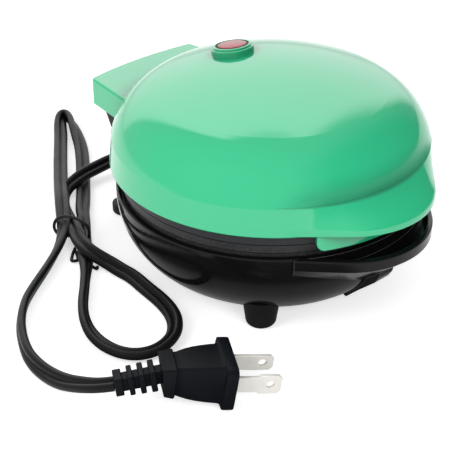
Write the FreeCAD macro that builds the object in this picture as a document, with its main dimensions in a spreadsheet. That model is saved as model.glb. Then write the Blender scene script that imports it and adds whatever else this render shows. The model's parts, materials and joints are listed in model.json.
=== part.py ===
import FreeCAD, Part
import math
import os
import Sketcher

Vector = FreeCAD.Vector
Rotation = FreeCAD.Rotation
Placement = FreeCAD.Placement

doc = FreeCAD.newDocument("DonutMaker")

# Driving dimensions, in millimetres and degrees.
# The origin is on the floor under the axis of the round plates: +Z up, +Y to the hinge.
dimensions = {
    # distance that centres the whole length on the origin
    "plate_axis_y": -4.05,
    # lid
    "rim_height": 50.0,
    "lid_radius": 65.0,
    "lid_wall": 2.2,
    "skirt_rise": 11.3,
    "skirt_top_radius": 64.0,
    "shoulder_radius": 29.5,
    "crown_edge_radius": 46.25,
    "crown_edge_rise": 31.3,
    "crown_radius": 123.5,
    "crown_rise": 40.3,
    # front visor of the lid and tab of the base, which share one plan
    "tongue_radius": 35.4,
    "tongue_centre": 40.0,
    "tab_touch_x": 25.57,
    "tab_touch_y": 64.48,
    "visor_root_radius": 64.6,
    "visor_lift": 0.5,
    "visor_lip": 2.7,
    "visor_wall": 2.2,
    "visor_hollow": 2.6,
    "visor_crest": 61.9,
    "visor_crest_radius": 63.9,
    "finger_wall_radius": 66.2,
    "finger_wall_drop": 6.0,
    "finger_wall_angle": 29.5,
    # hinge
    "box_bottom": 54.0,
    "box_height": 11.55,
    "box_front_x": 31.6,
    "box_front_y": 52.8,
    "box_rear_x": 28.0,
    "box_rear_y": 81.0,
    "box_bow": 158.0,
    "box_wall": 2.1,
    "pin_y": 75.0,
    "pin_height": 58.5,
    "pin_radius": 1.5,
    "pin_length": 50.6,
    "pin_clearance": 0.05,
    "knuckle_radius": 4.5,
    "knuckle_inner_x": 13.3,
    "knuckle_width": 4.7,
    "arm_inner_x": 18.5,
    "arm_width": 6.8,
    "arm_radius": 4.4,
    # indicator lamp
    "lamp_y": 22.4,
    "lamp_height": 88.25,
    "lamp_tilt": 10.4,
    "collar_radius": 8.7,
    "collar_rise": 2.0,
    "collar_lip_radius": 7.7,
    "collar_lip_rise": 2.8,
    "lens_radius": 6.7,
    "lens_stem_radius": 5.4,
    # cooking plates
    "plate_radius": 60.6,
    "upper_face": 41.1,
    "lower_face": 40.5,
    "deck_thickness": 2.6,
    "plate_rim_rise": 3.0,
    "mould_offset": 24.0,
    "mould_ring": 13.6,
    "mould_tube": 8.2,
    "mould_wall": 2.0,
    "element_ring": 24.0,
    "element_tube": 3.2,
    "element_sweep": 320.0,
    # inner ring of the lid
    "ring_bottom": 44.4,
    "ring_flange_radius": 62.3,
    "shield_height": 61.0,
    "lug_height": 51.0,
    "lug_thickness": 2.0,
    "lug_reach": 38.0,
    "ring_screw_circle": 52.0,
    "plate_screw_circle": 42.0,
    "post_circle": 33.0,
    "post_top": 31.0,
    # base
    "base_rim": 39.5,
    "base_rim_radius": 62.9,
    "bowl_radius": 36.0,
    "bowl_floor": 3.5,
    "bowl_floor_radius": 39.0,
    "base_wall": 2.2,
    "rim_round": 0.6,
    "tab_band": 4.5,
    "rib_width": 8.0,
    "tab_root_x": 38.0,
    "tab_root_y": 51.5,
    "tab_depth": 4.8,
    "heel_bottom": 4.6,
    "heel_height": 31.0,
    "heel_half_width": 22.5,
    "heel_rear": 79.0,
    "heel_corner": 8.0,
    # feet
    "foot_x": 34.6,
    "foot_y": 31.3,
    "foot_top_radius": 7.7,
    "foot_radius": 6.2,
    "foot_round": 2.4,
    "pad_x": 19.5,
    "pad_y": 72.5,
    "pad_radius": 5.6,
    # cord
    "cord_radius": 2.4,
    "gland_x": 6.0,
    "gland_height": 10.0,
    "gland_reach": 12.5,
    # plug
    "plug_x": -76.06,
    "plug_y": -55.16,
    "plug_height": 9.9,
    "plug_turn": -31.0,
    "plug_tip": 8.3,
    "plug_roll": 1.6,
    "flange_width": 23.0,
    "flange_depth": 18.2,
    "flange_length": 4.4,
    "grip_length": 16.8,
    "collar_length": 4.0,
    "relief_length": 17.3,
    "relief_droop": 14.0,
    "blade_length": 17.5,
    "blade_width": 6.35,
    "blade_thickness": 1.5,
    "blade_spacing": 12.7,
}


class Size:
    """A number with the sheet formula that drives it."""

    def __init__(self, value, text):
        self.value = value
        self.text = text

    def __add__(self, other):
        other = as_size(other)
        return Size(self.value + other.value, f"({self.text} + {other.text})")

    def __sub__(self, other):
        other = as_size(other)
        return Size(self.value - other.value, f"({self.text} - {other.text})")

    def __mul__(self, other):
        other = as_size(other)
        return Size(self.value * other.value, f"({self.text} * {other.text})")

    def __neg__(self):
        return self * -1


def as_size(number):
    if isinstance(number, Size):
        return number
    return Size(float(number), f"{float(number)}")


def make_sheet():
    sheet = doc.addObject("Spreadsheet::Sheet", "Dims")
    for row, (name, value) in enumerate(dimensions.items(), start=1):
        sheet.set(f"A{row}", name)
        sheet.set(f"B{row}", str(value))
        sheet.setAlias(f"B{row}", name)
    doc.recompute()
    return sheet


def dim(name):
    return Size(sheet.get(name), f"Dims.{name}")


def drive(thing, path, number):
    thing.setExpression(path, as_size(number).text)


sheet = make_sheet()
kept = []


def keep(thing, label):
    thing.Label = label
    kept.append(thing)
    return thing


# Sketch and body helpers

def origin_plane(body, role):
    return next(plane for plane in body.Origin.OriginFeatures if plane.Role == role)


def new_sketch(body, role, offset=0.0, shift_x=0.0):
    """A sketch on one of the body's own planes, moved along its normal and sideways."""
    sketch = body.newObject("Sketcher::SketchObject", "Sketch")
    sketch.AttachmentSupport = [(origin_plane(body, role), "")]
    sketch.MapMode = "FlatFace"
    drive(sketch, "AttachmentOffset.Base.z", offset)
    drive(sketch, "AttachmentOffset.Base.x", shift_x)
    return sketch


def hold(sketch, kind, geometry, point, number):
    number = as_size(number)
    constraint = sketch.addConstraint(
        Sketcher.Constraint(kind, -1, 1, geometry, point, number.value))
    name = f"place{constraint}"
    sketch.renameConstraint(constraint, name)
    drive(sketch, f"Constraints.{name}", number)


def hold_radius(sketch, geometry, number):
    number = as_size(number)
    constraint = sketch.addConstraint(Sketcher.Constraint("Radius", geometry, number.value))
    name = f"radius{constraint}"
    sketch.renameConstraint(constraint, name)
    drive(sketch, f"Constraints.{name}", number)


def arc_between(start, end, radius, turn):
    """Minor arc from start to end, turning left (counter-clockwise) or right."""
    chord = end - start
    half = chord.Length / 2
    side = Vector(-chord.y, chord.x, 0).normalize()
    reach = math.sqrt(max(radius * radius - half * half, 0.0))
    centre = (start + end) * 0.5 + side * (reach if turn == "left" else -reach)
    first, last = (start, end) if turn == "left" else (end, start)
    begin = math.atan2(first.y - centre.y, first.x - centre.x)
    finish = math.atan2(last.y - centre.y, last.x - centre.x)
    if finish <= begin:
        finish += 2 * math.pi
    return Part.ArcOfCircle(Part.Circle(centre, Vector(0, 0, 1), radius), begin, finish)


def outline(sketch, corners):
    """Closed outline: each corner is (x, y), or (x, y, radius, turn) to leave it on an arc."""
    points = [Vector(as_size(c[0]).value, as_size(c[1]).value, 0) for c in corners]
    edges = []
    for index, corner in enumerate(corners):
        start = points[index]
        end = points[(index + 1) % len(points)]
        if len(corner) == 4:
            radius, turn = corner[2:]
            edge = sketch.addGeometry(arc_between(start, end, as_size(radius).value, turn))
            ends = (1, 2) if turn == "left" else (2, 1)
        else:
            edge = sketch.addGeometry(Part.LineSegment(start, end))
            ends = (1, 2)
        edges.append((edge, ends))
    for index, (edge, ends) in enumerate(edges):
        following, following_ends = edges[(index + 1) % len(edges)]
        sketch.addConstraint(
            Sketcher.Constraint("Coincident", edge, ends[1], following, following_ends[0]))
    for corner, (edge, ends) in zip(corners, edges):
        hold(sketch, "DistanceX", edge, ends[0], corner[0])
        hold(sketch, "DistanceY", edge, ends[0], corner[1])
        if len(corner) == 4:
            hold_radius(sketch, edge, corner[2])


def circle(sketch, x, y, radius):
    x, y, radius = as_size(x), as_size(y), as_size(radius)
    shape = Part.Circle(Vector(x.value, y.value, 0), Vector(0, 0, 1), radius.value)
    edge = sketch.addGeometry(shape)
    hold(sketch, "DistanceX", edge, 3, x)
    hold(sketch, "DistanceY", edge, 3, y)
    hold_radius(sketch, edge, radius)


def new_body(label):
    return keep(doc.addObject("PartDesign::Body", label), label)


def feature(body, kind, sketch):
    thing = body.newObject(f"PartDesign::{kind}", kind)
    thing.Profile = (sketch, [""])
    return thing


def revolve(body, sketch, cut=False):
    """Turn a sketch once round its own upright axis."""
    thing = feature(body, "Groove" if cut else "Revolution", sketch)
    thing.ReferenceAxis = (sketch, ["V_Axis"])
    thing.Angle = 360.0
    doc.recompute()
    return thing


def pad(body, sketch, length, both_ways=False, reverse=False):
    thing = feature(body, "Pad", sketch)
    thing.Midplane = both_ways
    thing.Reversed = reverse
    drive(thing, "Length", length)
    doc.recompute()
    return thing


def pocket(body, sketch, length, forward=False, both_ways=False):
    """Cut against the sketch's normal, or along it when forward is set."""
    before = body.Shape.Volume
    thing = feature(body, "Pocket", sketch)
    thing.Reversed = forward
    thing.Midplane = both_ways
    drive(thing, "Length", length)
    doc.recompute()
    if body.Shape.Volume >= before:
        raise RuntimeError(f"a pocket in {body.Label} cuts nothing")
    return thing


def round_edges(body, radius, chosen):
    """Fillet the edges of the body's last feature whose middle point passes the test."""
    tip = body.Tip
    names = []
    for number, edge in enumerate(tip.Shape.Edges, start=1):
        middle = edge.valueAt((edge.FirstParameter + edge.LastParameter) / 2)
        if chosen(edge, middle):
            names.append(f"Edge{number}")
    thing = body.newObject("PartDesign::Fillet", "Fillet")
    thing.Base = (tip, names)
    drive(thing, "Radius", radius)
    doc.recompute()
    return thing


def cylinder(radius, height, x=0.0, y=0.0, z=0.0):
    thing = doc.addObject("Part::Cylinder", "Cylinder")
    drive(thing, "Radius", radius)
    drive(thing, "Height", height)
    place(thing, x, y, z)
    return thing


def block(length, width, height, x=0.0, y=0.0, z=0.0):
    """A box centred on x and y, standing on z."""
    thing = doc.addObject("Part::Box", "Box")
    drive(thing, "Length", length)
    drive(thing, "Width", width)
    drive(thing, "Height", height)
    place(thing, as_size(x) - as_size(length) * 0.5, as_size(y) - as_size(width) * 0.5, z)
    return thing


def place(thing, x, y, z):
    drive(thing, "Placement.Base.x", x)
    drive(thing, "Placement.Base.y", y)
    drive(thing, "Placement.Base.z", z)


def fuse(things):
    thing = doc.addObject("Part::MultiFuse", "Fuse")
    thing.Shapes = things
    return thing


def cut(base, tool):
    thing = doc.addObject("Part::Cut", "Cut")
    thing.Base = base
    thing.Tool = tool
    return thing


def group(things):
    """Separate solids that share one node."""
    thing = doc.addObject("Part::Compound", "Group")
    thing.Links = things
    return thing


def quarter_points(circle_radius):
    radius = as_size(circle_radius)
    return [(radius, 0.0), (0.0, radius), (-radius, 0.0), (0.0, -radius)]


def mould_points():
    offset = dim("mould_offset")
    return [(offset, offset), (-offset, offset), (-offset, -offset), (offset, -offset)]


# Lid

def tongue_corners(root_x, root_y, touch_x, touch_y, radius, inner_radius):
    """Plan of the visor or tab: two straight cheeks, a round front and the round wall behind."""
    return [
        (-root_x, -root_y),
        (-touch_x, -touch_y, radius, "left"),
        (touch_x, -touch_y),
        (root_x, -root_y, inner_radius, "right"),
    ]


def ruled_loft(body, sketches):
    """Straight-sided transition from one outline to the next."""
    thing = body.newObject("PartDesign::AdditiveLoft", "Loft")
    thing.Profile = (sketches[0], [""])
    thing.Sections = [(sketch, [""]) for sketch in sketches[1:]]
    thing.Ruled = True
    doc.recompute()
    return thing


def cheek_direction():
    """Sine and cosine of the angle at which the visor's straight cheeks touch the round lid."""
    root, front, centre = dim("visor_root_radius"), dim("tongue_radius"), dim("tongue_centre")
    ratio = (root.value - front.value) / centre.value
    text = f"(({root.text} - {front.text}) / {centre.text})"
    return Size(math.sqrt(1 - ratio ** 2), f"sqrt(1 - {text} ^ 2)"), Size(ratio, text)


def arc_corners(radius, inner_radius, angles):
    """Crescent whose outer side follows one circle through the given angles from the front."""
    spots = [(radius * math.sin(math.radians(angle)), radius * -math.cos(math.radians(angle)))
             for angle in angles]
    corners = [spot + (radius, "left") for spot in spots[:-1]]
    return corners + [spots[-1] + (inner_radius, "right")]


def lid_visor(body):
    bottom = dim("rim_height") + dim("visor_lift")
    lip = bottom + dim("visor_lip")
    sine, cosine = cheek_direction()
    root, front, centre = dim("visor_root_radius"), dim("tongue_radius"), dim("tongue_centre")
    corners = tongue_corners(
        root * sine, root * cosine, front * sine, centre + front * cosine, front, 70.0)
    plan = new_sketch(body, "XY_Plane", bottom)
    outline(plan, corners)
    pad(body, plan, dim("visor_lip"))

    # The top falls straight from the crease of the lid to the upright lip.
    edge = new_sketch(body, "XY_Plane", lip)
    outline(edge, corners)
    crease = new_sketch(body, "XY_Plane", dim("visor_crest"))
    outline(crease, arc_corners(dim("visor_crest_radius"), 68.0, (-42.5, -19.8, 19.8, 42.5)))
    ruled_loft(body, [edge, crease])
    round_edges(body, 2.0, lambda edge, middle: abs(middle.z - lip.value) < 0.01
                and middle.y < -(centre.value + front.value * 0.9))

    hollow = new_sketch(body, "XY_Plane", bottom)
    inner = front - dim("visor_wall")
    run = 8.0
    touch_x, touch_y = inner * sine, centre + inner * cosine
    outline(hollow, tongue_corners(
        touch_x + cosine * run, touch_y - sine * run, touch_x, touch_y, inner, 65.2))
    pocket(body, hollow, dim("visor_hollow"), forward=True)

    # Curved wall under the visor, behind the fingertips
    outer = dim("finger_wall_radius")
    start = dim("rim_height") - dim("finger_wall_drop")
    wall = new_sketch(body, "XY_Plane", start)
    end = math.radians(dim("finger_wall_angle").value)
    inner = outer - 1.8
    outline(wall, [
        (outer * -math.sin(end), outer * -math.cos(end), outer, "left"),
        (outer * math.sin(end), outer * -math.cos(end)),
        (inner * math.sin(end), inner * -math.cos(end), inner, "right"),
        (inner * -math.sin(end), inner * -math.cos(end)),
    ])
    pad(body, wall, dim("finger_wall_drop") + 4.0)
    round_edges(body, 3.5, lambda edge, middle: abs(middle.z - start.value) < 0.01
                and edge.Length < 3)


def lid_hinge_box(body):
    plan = new_sketch(body, "XY_Plane", dim("box_bottom"))
    outline(plan, [
        (dim("box_front_x"), dim("box_front_y")),
        (dim("box_rear_x"), dim("box_rear_y"), dim("box_bow"), "left"),
        (-dim("box_rear_x"), dim("box_rear_y")),
        (-dim("box_front_x"), dim("box_front_y"), 61.53, "right"),
    ])
    pad(body, plan, dim("box_height"))
    rear = dim("box_rear_y").value
    round_edges(body, 2.6, lambda edge, middle: abs(middle.y - rear) < 0.2 and abs(middle.x) > 20
                and abs(middle.z - dim("box_bottom").value) > 1 and edge.Length > 8)
    top = dim("box_bottom").value + dim("box_height").value
    round_edges(body, 1.2, lambda edge, middle: abs(middle.z - top) < 0.01 and middle.y > 63)

    hollow = new_sketch(body, "XY_Plane", dim("box_bottom"))
    outline(hollow, [
        (dim("box_front_x") - 2.4, 54.5),
        (dim("box_rear_x") - 2.2, dim("box_rear_y") - dim("box_wall"), dim("box_bow"), "left"),
        (-(dim("box_rear_x") - 2.2), dim("box_rear_y") - dim("box_wall")),
        (-(dim("box_front_x") - 2.4), 54.5, 61.83, "right"),
    ])
    pocket(body, hollow, dim("box_height") - 2.0, forward=True)

    # Notches in the rear wall that let the base's arms pass as the lid opens
    roof = dim("box_bottom") + dim("box_height") - 2.0
    notch_inner = dim("arm_inner_x") - 0.6
    notch_outer = dim("arm_inner_x") + dim("arm_width") + 0.6
    for side in (1, -1):
        notch = new_sketch(body, "XZ_Plane", -74.0)
        outline(notch, [
            (notch_inner * side, dim("box_bottom") - 1.0),
            (notch_outer * side, dim("box_bottom") - 1.0),
            (notch_outer * side, roof),
            (notch_inner * side, roof),
        ])
        pocket(body, notch, 12.0)

    # Knuckles that hang from the roof of the box and turn on the pin
    reach = dim("knuckle_radius")
    roof = roof + 0.5
    for side in (1, -1):
        near, far = dim("knuckle_inner_x"), dim("knuckle_inner_x") + dim("knuckle_width")
        inner = near if side > 0 else -far
        knuckle = new_sketch(body, "YZ_Plane", inner)
        outline(knuckle, [
            (dim("pin_y") - reach, roof),
            (dim("pin_y") - reach, dim("pin_height"), reach, "left"),
            (dim("pin_y"), dim("pin_height") - reach, reach, "left"),
            (dim("pin_y") + reach, dim("pin_height")),
            (dim("pin_y") + reach, roof),
        ])
        pad(body, knuckle, dim("knuckle_width"))
    hole = new_sketch(body, "YZ_Plane")
    circle(hole, dim("pin_y"), dim("pin_height"), dim("pin_radius") + dim("pin_clearance"))
    pocket(body, hole, 48.0, both_ways=True)


def lid_dome(body):
    rim = dim("rim_height")
    wall = dim("lid_wall")
    rounding = as_size(0.5)
    profile = new_sketch(body, "XZ_Plane")
    outline(profile, [
        (dim("lid_radius") - wall, rim),
        (dim("lid_radius") - rounding, rim, rounding, "left"),
        (dim("lid_radius"), rim + rounding),
        (dim("skirt_top_radius"), rim + dim("skirt_rise"), dim("shoulder_radius"), "left"),
        (dim("crown_edge_radius"), rim + dim("crown_edge_rise"), dim("crown_radius"), "left"),
        (0.0, rim + dim("crown_rise")),
        (0.0, rim + dim("crown_rise") - wall, dim("crown_radius") - wall, "right"),
        (dim("crown_edge_radius") - wall * 0.37, rim + dim("crown_edge_rise") - wall * 0.93,
         dim("shoulder_radius") - wall, "right"),
        (dim("skirt_top_radius") - wall * 1.1, rim + dim("skirt_rise") - 0.3),
    ])
    revolve(body, profile)

    # Posts inside the dome take the screws of the inner ring.
    post_bottom = dim("lug_height") + dim("lug_thickness")
    posts = new_sketch(body, "XY_Plane", post_bottom)
    for x, y in quarter_points(dim("ring_screw_circle")):
        circle(posts, x, y, 3.4)
    pad(body, posts, 22.0)
    pilots = new_sketch(body, "XY_Plane", post_bottom)
    for x, y in quarter_points(dim("ring_screw_circle")):
        circle(pilots, x, y, 1.5)
    pocket(body, pilots, 10.0, forward=True)

    window = new_sketch(body, "XZ_Plane", -56.0)
    outline(window, [(-7.0, 55.5), (7.0, 55.5), (7.0, 61.0), (-7.0, 61.0)])
    pocket(body, window, 12.0)


def tilt_on_dome(sketch, lift):
    """Lay a sketch on the dome, square to its surface where the lamp sits."""
    sketch.setExpression("AttachmentOffset.Base.x", None)
    sketch.setExpression("AttachmentOffset.Base.z", None)
    lean = Rotation(Vector(1, 0, 0), -dim("lamp_tilt").value)
    foot = Vector(0, dim("lamp_y").value, dim("lamp_height").value)
    sketch.AttachmentOffset = Placement(foot + lean.multVec(Vector(0, 0, lift)), lean)


def lid_collar(body):
    foot = Vector(0, dim("lamp_y").value, dim("lamp_height").value)
    upward = Rotation(Vector(1, 0, 0), -dim("lamp_tilt").value).multVec(Vector(0, 0, 1))
    steps = (("collar_radius", "collar_rise"), ("collar_lip_radius", "collar_lip_rise"))
    for radius, rise in steps:
        ring = new_sketch(body, "XY_Plane")
        tilt_on_dome(ring, -1.6)
        circle(ring, 0.0, 0.0, dim(radius))
        pad(body, ring, dim(rise) + 1.6)
        top, girth = dim(rise).value, 2 * math.pi * dim(radius).value
        round_edges(body, 0.5, lambda edge, middle: abs(edge.Length - girth) < 0.05
                    and abs((middle - foot).dot(upward) - top) < 0.05)
    bore = new_sketch(body, "XY_Plane")
    tilt_on_dome(bore, dim("collar_lip_rise").value + 1.0)
    circle(bore, 0.0, 0.0, dim("lens_stem_radius") + 0.1)
    pocket(body, bore, 12.0)
    seat = new_sketch(body, "XY_Plane")
    tilt_on_dome(seat, dim("collar_lip_rise").value + 1.0)
    circle(seat, 0.0, 0.0, dim("lens_radius") + 0.1)
    pocket(body, seat, 2.4)


def lid_cover():
    body = new_body("lid_cover")
    lid_visor(body)
    lid_hinge_box(body)
    lid_dome(body)
    lid_collar(body)


def lid_inner_ring():
    body = new_body("lid_inner_ring")
    bottom = dim("ring_bottom")
    outer = dim("plate_radius")
    lug = dim("lug_height")
    top = lug + dim("lug_thickness")
    profile = new_sketch(body, "XZ_Plane")
    outline(profile, [
        (outer - 2.6, bottom),
        (outer, bottom),
        (outer, lug - 0.4),
        (dim("ring_flange_radius"), lug - 0.4),
        (dim("ring_flange_radius"), top),
        (outer - 2.6, top),
    ])
    revolve(body, profile)
    for side_x, side_y in ((1, 0), (0, 1), (-1, 0), (0, -1)):
        arm = new_sketch(body, "XY_Plane", lug)
        near, far, half = dim("lug_reach"), outer - 1.0, as_size(4.5)
        outline(arm, [
            (near * side_x - half * side_y, near * side_y + half * side_x),
            (near * side_x + half * side_y, near * side_y - half * side_x),
            (far * side_x + half * side_y, far * side_y - half * side_x),
            (far * side_x - half * side_y, far * side_y + half * side_x),
        ])
        pad(body, arm, dim("lug_thickness"))
    holes = new_sketch(body, "XY_Plane", top)
    for x, y in quarter_points(dim("ring_screw_circle")) + quarter_points(dim("plate_screw_circle")):
        circle(holes, x, y, 1.7)
    pocket(body, holes, 3.0)


# Cooking plates

def mould(body, x, y, face, side):
    """One half of a donut mould: a bulge on the back of the plate and the trough in its face."""
    tube, shell, ring = dim("mould_tube"), dim("mould_wall"), dim("mould_ring")
    for radius, is_cut in ((tube + shell, False), (tube, True)):
        section = new_sketch(body, "XZ_Plane", -as_size(y), x)
        turn = "left" if side < 0 else "right"
        outline(section, [
            (ring - radius, face, radius, turn),
            (ring, face + radius * side, radius, turn),
            (ring + radius, face),
        ])
        revolve(body, section, cut=is_cut)


def cooking_plate(label, face, side, rim_radius, boss_circle, boss_end):
    """A cast plate whose face looks away from side (+1 up, -1 down) and whose back carries bosses."""
    body = new_body(label)
    deck = dim("deck_thickness") * side
    rim = dim("plate_rim_rise") * side
    corners = [
        (0.0, face),
        (rim_radius, face),
        (rim_radius, face + rim),
        (rim_radius - 2.4, face + rim),
        (rim_radius - 2.4, face + deck),
        (0.0, face + deck),
    ]
    profile = new_sketch(body, "XZ_Plane")
    outline(profile, corners)
    revolve(body, profile)
    for x, y in mould_points():
        mould(body, x, y, face, side)

    back = face + deck * 0.5
    bosses = new_sketch(body, "XY_Plane", boss_end)
    for x, y in quarter_points(boss_circle):
        circle(bosses, x, y, 3.2)
    pad(body, bosses, (boss_end - back) * side, reverse=side > 0)
    holes = new_sketch(body, "XY_Plane", boss_end)
    for x, y in quarter_points(boss_circle):
        circle(holes, x, y, 1.5)
    pocket(body, holes, 5.0, forward=side < 0)
    return body


def upper_plate():
    body = cooking_plate("upper_plate", dim("upper_face"), 1, dim("plate_radius"),
                         dim("plate_screw_circle"), dim("lug_height"))
    # A stud in the middle of the back holds the heat shield.
    start = dim("upper_face") + dim("deck_thickness") * 0.5
    stud = new_sketch(body, "XY_Plane", start)
    circle(stud, 0.0, 0.0, 4.0)
    pad(body, stud, dim("shield_height") - start)
    hole = new_sketch(body, "XY_Plane", dim("shield_height"))
    circle(hole, 0.0, 0.0, 1.5)
    pocket(body, hole, 8.0)


def lower_plate():
    cooking_plate("lower_plate", dim("lower_face"), -1, dim("plate_radius") - 0.4,
                  dim("post_circle"), dim("post_top"))


def element(label, height):
    """Tubular heating ring, open towards the hinge."""
    ring = doc.addObject("Part::Torus", label)
    drive(ring, "Radius1", dim("element_ring"))
    drive(ring, "Radius2", dim("element_tube"))
    drive(ring, "Angle3", dim("element_sweep"))
    place(ring, 0.0, 0.0, height)
    half_gap = (360.0 - dim("element_sweep").value) / 2
    ring.Placement.Rotation = Rotation(Vector(0, 0, 1), 90.0 + half_gap)
    keep(ring, label)


def heat_shield(label, floor, side, radius, holes, hole_radius):
    """Pressed steel dish between a heating ring and the housing."""
    body = new_body(label)
    sheet_metal = 0.6
    profile = new_sketch(body, "XZ_Plane")
    outline(profile, [
        (0.0, floor),
        (radius, floor),
        (radius, floor - 5.6 * side),
        (radius - sheet_metal, floor - 5.6 * side),
        (radius - sheet_metal, floor - sheet_metal * side),
        (0.0, floor - sheet_metal * side),
    ])
    revolve(body, profile)
    openings = new_sketch(body, "XY_Plane", floor - 2.0 * side)
    for x, y in holes:
        circle(openings, x, y, hole_radius)
    slot = dim("element_ring").value
    circle(openings, 8.2, slot - 1.4, 3.6)
    circle(openings, -8.2, slot - 1.4, 3.6)
    pocket(body, openings, 4.0, forward=side > 0)


def screw(x, y, head_start, head_end, tip):
    """Pan-head screw on an upright axis; tip is the far end of its shank."""
    low, high = sorted((head_start, head_end))
    head = cylinder(2.8, high - low, x, y, low)
    low, high = sorted((head_end, tip))
    shank = cylinder(1.5, high - low, x, y, low)
    return fuse([head, shank])


def lid_fittings():
    lug_top = dim("lug_height").value + dim("lug_thickness").value
    lug_bottom = dim("lug_height").value
    screws = [screw(x, y, lug_bottom - 1.8, lug_bottom, lug_top + 8.0)
              for x, y in quarter_points(dim("ring_screw_circle"))]
    keep(group(screws), "ring_screws")
    screws = [screw(x, y, lug_top + 1.8, lug_top, lug_bottom - 4.5)
              for x, y in quarter_points(dim("plate_screw_circle"))]
    shield_top = dim("shield_height") + 0.6
    top = shield_top.value
    screws.append(screw(0.0, 0.0, top + 1.8, top, top - 8.0))
    keep(group(screws), "upper_plate_screws")
    heat_shield("upper_heat_shield", shield_top, 1, as_size(37.0), [(0.0, 0.0)], 1.7)


# Base

def tab(body):
    band = dim("base_rim") - dim("tab_band")
    root_x, root_y = dim("tab_root_x"), dim("tab_root_y")
    touch_x, touch_y = dim("tab_touch_x"), dim("tab_touch_y")
    corners = [
        (-root_x, -root_y),
        (-touch_x, -touch_y, dim("tongue_radius"), "left"),
        (touch_x, -touch_y),
        (root_x, -root_y),
    ]
    plan = new_sketch(body, "XY_Plane", band)
    outline(plan, corners)
    pad(body, plan, dim("tab_band"))
    round_edges(body, dim("rim_round"), lambda edge, middle: middle.y < -root_y.value - 1
                and abs(middle.z - dim("base_rim").value) < 0.01)

    # Below the upright band the tab tapers back into the bowl.
    upper = new_sketch(body, "XY_Plane", band)
    outline(upper, corners)
    lower = new_sketch(body, "XY_Plane", 18.0)
    outline(lower, [
        (-33.0, -44.0),
        (-11.5, -52.2, 17.5, "left"),
        (11.5, -52.2),
        (33.0, -44.0),
    ])
    ruled_loft(body, [upper, lower])

    # A narrow rib runs down the middle of the taper and on under the bowl.
    rib = new_sketch(body, "YZ_Plane")
    outline(rib, [
        (-58.0, 30.0),
        (-66.0, 30.0),
        (-64.1, 22.7),
        (-62.2, 19.7),
        (-54.8, 12.9),
        (-48.2, 6.4),
        (-40.0, 9.0),
        (-52.0, 20.0),
    ])
    pad(body, rib, dim("rib_width"), both_ways=True)


def heel(body):
    """Block behind the bowl that carries the hinge arms and the cord."""
    half, rear, corner = dim("heel_half_width"), dim("heel_rear"), dim("heel_corner")
    plan = new_sketch(body, "XY_Plane", dim("heel_bottom"))
    outline(plan, [
        (half + 1.5, 40.0),
        (half, rear - corner, corner, "left"),
        (half - corner, rear),
        (-(half - corner), rear, corner, "left"),
        (-half, rear - corner),
        (-(half + 1.5), 40.0),
    ])
    pad(body, plan, dim("heel_height"))

    knuckle, y, z = dim("arm_radius"), dim("pin_y"), dim("pin_height")
    for side in (1, -1):
        near, far = dim("arm_inner_x"), dim("arm_inner_x") + dim("arm_width")
        arm = new_sketch(body, "YZ_Plane", near if side > 0 else -far)
        outline(arm, [
            (59.3, 28.0),
            (67.5, 28.0),
            (67.5, 36.0),
            (72.5, 45.5),
            (76.0, 52.0),
            (y + knuckle * 0.837, z - knuckle * 0.548, knuckle, "left"),
            (y + knuckle * 0.731, z + knuckle * 0.682, knuckle, "left"),
            (y - knuckle * 0.789, z + knuckle * 0.614),
            (63.2, 50.5),
            (59.3, 46.8),
        ])
        pad(body, arm, dim("arm_width"))


def bowl_profile(sketch, wall, top):
    """Half section of the bowl, taken in by a wall thickness."""
    reach = dim("bowl_radius") - wall
    floor = dim("bowl_floor") + wall
    outline(sketch, [
        (0.0, floor),
        (dim("bowl_floor_radius") - wall * 0.17, floor, reach, "left"),
        (dim("base_rim_radius") - wall, dim("base_rim")),
        (dim("base_rim_radius") - wall, top),
        (0.0, top),
    ])


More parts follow.
